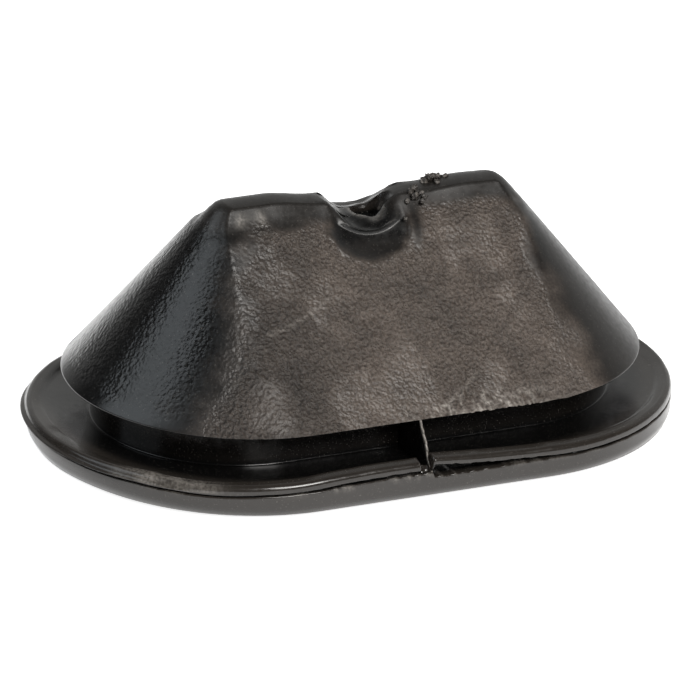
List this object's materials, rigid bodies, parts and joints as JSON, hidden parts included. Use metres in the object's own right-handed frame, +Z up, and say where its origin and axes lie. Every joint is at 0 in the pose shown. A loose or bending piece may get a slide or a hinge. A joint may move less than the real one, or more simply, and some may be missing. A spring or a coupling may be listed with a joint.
{
  "type": "rubber bung",
  "caption": "Oblong hollow rubber bung with a flat flange, a panel groove and a tapered hood with a torn notch in its top.",
  "frame": {"origin": "middle of the flat underside of the flange", "axes": "+X along the length, +Y across the width, +Z up through the hood"},
  "size_m": [0.06, 0.038, 0.0223],
  "materials": {
    "rubber": "moulded black rubber, semi-gloss on the flange and hood ends, dusty and finely pitted on the hood's long faces"
  },
  "bodies": {
    "root": {"bung": "rubber"}
  },
  "joints": []
}
